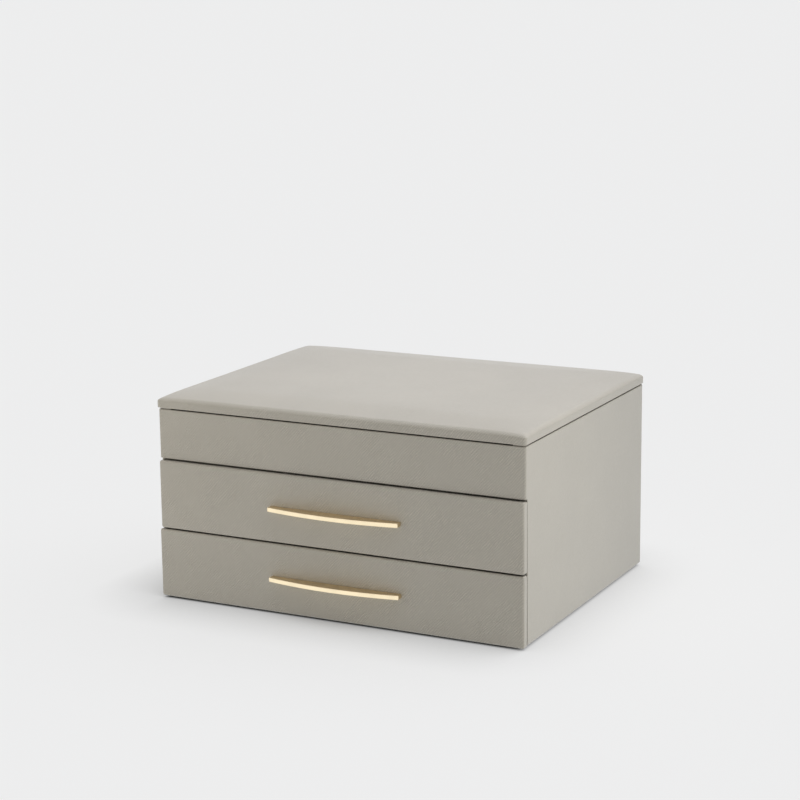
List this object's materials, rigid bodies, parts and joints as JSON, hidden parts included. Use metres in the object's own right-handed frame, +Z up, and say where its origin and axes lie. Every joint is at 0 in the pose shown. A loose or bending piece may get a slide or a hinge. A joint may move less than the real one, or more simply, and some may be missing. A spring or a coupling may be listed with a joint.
{
  "type": "jewellery chest",
  "caption": "Leatherette-wrapped jewellery chest: padded lid hinged at the back over a lined tray with ring rolls and mirror, above two drawers with bowed brass pulls.",
  "frame": {"origin": "centre of the case's footprint, on the face of the base felt that it stands on", "axes": "+X to the right along the front, -Y out of the drawer fronts, +Z up"},
  "size_m": [0.281, 0.2316, 0.1475],
  "materials": {
    "leatherette": "fine cross-grain greige leatherette, satin",
    "board": "fibreboard; drawer boards covered in greige suede paper",
    "velvet": "short greige velvet on card",
    "foam": "padding under the lid's cover",
    "felt": "dark pressed felt",
    "brass": "polished brass",
    "steel": "zinc plated",
    "mirror": "silvered glass"
  },
  "bodies": {
    "case": {"side_board_left": "board", "side_board_right": "board", "back_board": "board", "tray_front_board": "board", "base_board": "board", "drawer_shelf_board": "board", "tray_floor_board": "board", "case_cover": "leatherette", "base_felt": "felt", "rim_pads": "velvet", "tray_floor_lining": "velvet", "tray_lining_left": "velvet", "tray_lining_right": "velvet", "tray_lining_front": "velvet", "tray_lining_back": "velvet", "tray_divider_long": "velvet", "tray_divider_left": "velvet", "tray_divider_right": "velvet", "ring_rolls": "velvet", "case_hinge_leaf_left": "brass", "case_hinge_leaf_right": "brass", "hinge_pin_left": "brass", "hinge_pin_right": "brass", "case_hinge_screws": "brass"},
    "lid": {"lid_board": "board", "lid_foam": "foam", "lid_cover": "leatherette", "lid_lining": "velvet", "lid_mirror": "mirror", "lid_hinge_leaf_left": "brass", "lid_hinge_leaf_right": "brass", "lid_hinge_screws": "brass"},
    "upper_drawer": {"upper_drawer_front_board": "board", "upper_drawer_front_cover": "leatherette", "upper_drawer_side_left": "board", "upper_drawer_side_right": "board", "upper_drawer_back": "board", "upper_drawer_bottom": "board", "upper_drawer_lining": "velvet", "upper_drawer_handle": "brass", "upper_drawer_handle_screws": "steel", "upper_drawer_divider_long": "velvet", "upper_drawer_dividers_cross": "velvet"},
    "lower_drawer": {"lower_drawer_front_board": "board", "lower_drawer_front_cover": "leatherette", "lower_drawer_side_left": "board", "lower_drawer_side_right": "board", "lower_drawer_back": "board", "lower_drawer_bottom": "board", "lower_drawer_lining": "velvet", "lower_drawer_handle": "brass", "lower_drawer_handle_screws": "steel", "lower_drawer_divider": "velvet"}
  },
  "joints": [
    {"name": "lid_hinge", "type": "hinge", "parent": "case", "child": "lid", "pos_m": [0, 0.1094, 0.1375], "axis": [-1, 0, 0], "range_deg": [0, 100]},
    {"name": "upper_drawer_slide", "type": "slide", "parent": "case", "child": "upper_drawer", "axis": [0, -1, 0], "range_m": [0, 0.15]},
    {"name": "lower_drawer_slide", "type": "slide", "parent": "case", "child": "lower_drawer", "axis": [0, -1, 0], "range_m": [0, 0.15]}
  ]
}
